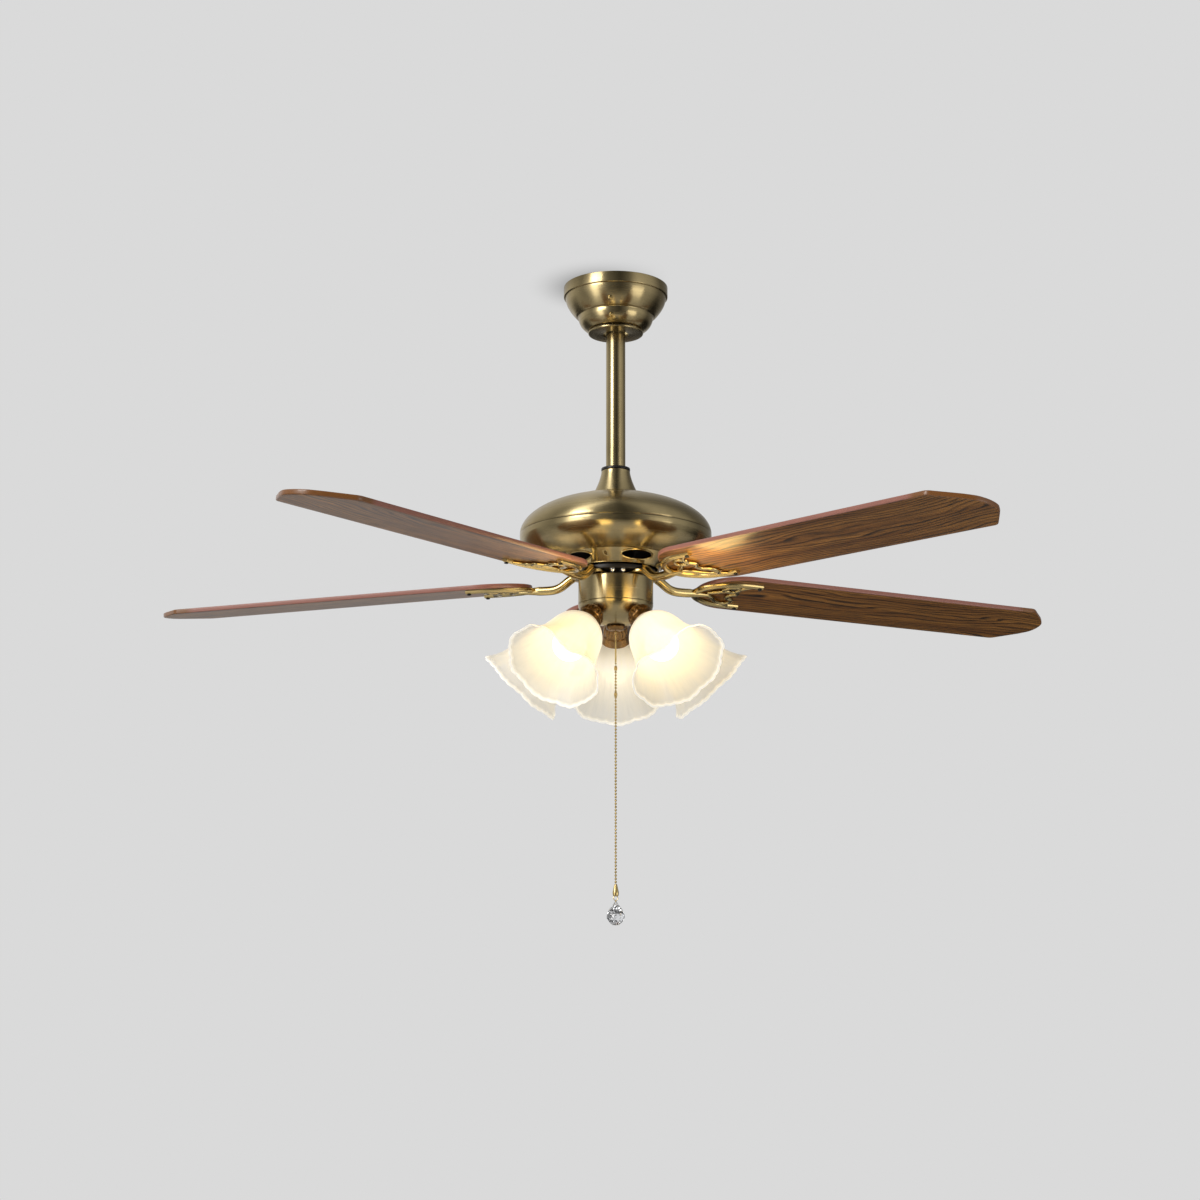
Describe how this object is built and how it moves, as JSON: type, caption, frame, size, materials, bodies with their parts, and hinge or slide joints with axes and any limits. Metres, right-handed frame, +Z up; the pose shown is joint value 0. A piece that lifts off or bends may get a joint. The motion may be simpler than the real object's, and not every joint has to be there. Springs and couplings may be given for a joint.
{
  "type": "ceiling fan with light",
  "caption": "Downrod ceiling fan with wooden blades on pierced brass irons, a brass motor housing, a ring of frosted bell-shaped glass lamps and a beaded pull chain.",
  "frame": {"origin": "on the ceiling plane, on the fan's axis, at the top face of the hanger bracket", "axes": "+Z up, -Y towards the viewer, +X to the viewer's right"},
  "size_m": [1.2586, 1.223, 0.876],
  "materials": {
    "antique_brass": "brushed antique, lacquered",
    "bronze": "dark antique bronze, satin",
    "steel": "zinc plated",
    "black_metal": "satin black",
    "walnut": "dark walnut grain, satin, mahogany edge band",
    "frosted_glass": "frosted, fluted, warm white",
    "opal_bulb": "opal, lit",
    "porcelain": "glazed",
    "black_plastic": "moulded",
    "crystal": "clear, faceted, polished"
  },
  "bodies": {
    "ceiling_plate": {"hanger_bracket": "steel", "canopy": "antique_brass", "canopy_screw_1": "antique_brass", "canopy_screw_2": "antique_brass"},
    "hanger": {"hanger_ball": "black_metal", "canopy_disc": "antique_brass"},
    "fan_body": {"downrod": "antique_brass", "rod_collar": "black_metal", "yoke_cover": "antique_brass", "motor_yoke": "steel", "yoke_pin": "steel", "motor_shaft": "steel", "motor_stator": "steel", "housing_upper": "antique_brass", "housing_lower": "antique_brass", "switch_cup": "antique_brass", "capacitor": "black_plastic", "light_fitter": "antique_brass", "fitter_cap": "bronze", "pull_switch": "black_plastic", "lamp_holder_1": "bronze", "lamp_socket_1": "porcelain", "bulb_1": "opal_bulb", "shade_1": "frosted_glass", "lamp_holder_2": "bronze", "lamp_socket_2": "porcelain", "bulb_2": "opal_bulb", "shade_2": "frosted_glass", "lamp_holder_3": "bronze", "lamp_socket_3": "porcelain", "bulb_3": "opal_bulb", "shade_3": "frosted_glass", "lamp_holder_4": "bronze", "lamp_socket_4": "porcelain", "bulb_4": "opal_bulb", "shade_4": "frosted_glass", "lamp_holder_5": "bronze", "lamp_socket_5": "porcelain", "bulb_5": "opal_bulb", "shade_5": "frosted_glass"},
    "rotor": {"motor_rotor": "steel", "bearing_upper": "steel", "bearing_lower": "steel", "flywheel": "black_metal", "blade_iron_1": "antique_brass", "blade_1": "walnut", "blade_iron_2": "antique_brass", "blade_2": "walnut", "blade_iron_3": "antique_brass", "blade_3": "walnut", "blade_iron_4": "antique_brass", "blade_4": "walnut", "blade_iron_5": "antique_brass", "blade_5": "walnut"},
    "chain_switch": {"chain_stem": "antique_brass"},
    "chain_joint": {"chain_link": "antique_brass"},
    "chain": {"chain_coupling": "antique_brass", "pull_chain": "antique_brass", "chain_bell": "antique_brass", "crystal_drop": "crystal"}
  },
  "joints": [
    {"name": "hanger_tilt_side", "type": "hinge", "parent": "ceiling_plate", "child": "hanger", "pos_m": [0, 0, -0.036], "axis": [1, 0, 0], "range_deg": [-2.5, 2.5]},
    {"name": "hanger_tilt_front", "type": "hinge", "parent": "hanger", "child": "fan_body", "pos_m": [0, 0, -0.036], "axis": [0, 1, 0], "range_deg": [-2.5, 2.5]},
    {"name": "blade_spin", "type": "hinge", "parent": "fan_body", "child": "rotor", "pos_m": [0, 0, -0.402], "axis": [0, 0, 1], "continuous": true},
    {"name": "chain_pull", "type": "slide", "parent": "fan_body", "child": "chain_switch", "axis": [0, 0, -1], "range_m": [0, 0.01], "stiffness_N_per_m": 400, "springref_m": -0.005},
    {"name": "chain_swing_side", "type": "hinge", "parent": "chain_switch", "child": "chain_joint", "pos_m": [0, 0, -0.5286], "axis": [1, 0, 0], "range_deg": [-25, 25]},
    {"name": "chain_swing_front", "type": "hinge", "parent": "chain_joint", "child": "chain", "pos_m": [0, 0, -0.5286], "axis": [0, 1, 0], "range_deg": [-25, 25]}
  ]
}
